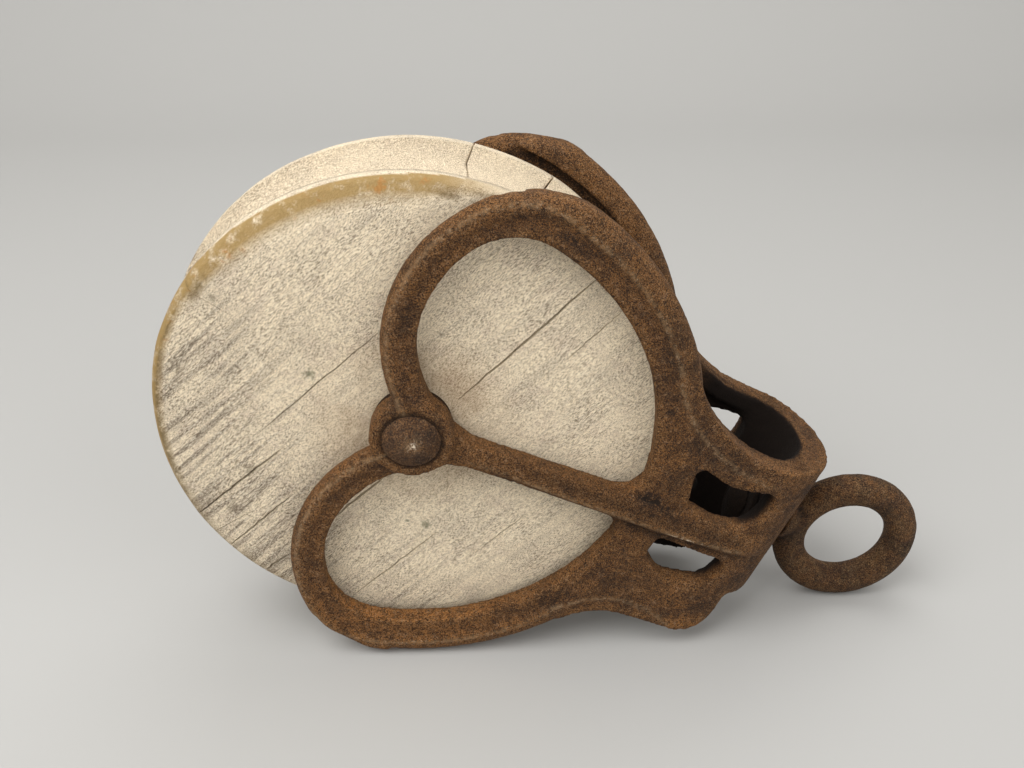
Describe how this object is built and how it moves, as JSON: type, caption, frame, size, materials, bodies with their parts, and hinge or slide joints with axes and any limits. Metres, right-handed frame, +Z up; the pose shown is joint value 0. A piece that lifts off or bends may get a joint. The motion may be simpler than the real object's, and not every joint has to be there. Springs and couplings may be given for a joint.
{
  "type": "barn pulley with a wooden sheave",
  "caption": "Rope pulley: a grooved wooden sheave on a pin in a cast iron heart frame with lobed cheeks, joined by a crown that carries a swivel eye.",
  "frame": {"origin": "centre of the bounding box's bottom face, on the surface that the pulley stands on", "axes": "+X from the sheave towards the eye, along the surface; +Y along the axle, from the near cheek to the far cheek; +Z up"},
  "size_m": [0.304, 0.0788, 0.2015],
  "materials": {
    "wood": "weathered, grey and cream, open cracks along the grain",
    "rusty_iron": "rusty, dark brown with orange on the raised edges",
    "dark_iron": "rusty, dark, worn bright in specks"
  },
  "bodies": {
    "frame": {"frame": "rusty_iron", "axle_pin": "dark_iron", "axle_burr": "dark_iron", "near_thrust_washer": "dark_iron", "far_thrust_washer": "dark_iron"},
    "sheave": {"sheave": "wood", "hub_bushing": "dark_iron"},
    "eye": {"swivel_eye": "rusty_iron", "swivel_washer": "dark_iron"}
  },
  "joints": [
    {"name": "sheave_spin", "type": "hinge", "parent": "frame", "child": "sheave", "pos_m": [-0.057, 0, 0.1065], "axis": [0, 1, 0], "continuous": true},
    {"name": "eye_swivel", "type": "hinge", "parent": "frame", "child": "eye", "pos_m": [0.09205, 0, 0.04304], "axis": [0.9201, 0, -0.3918], "continuous": true}
  ]
}
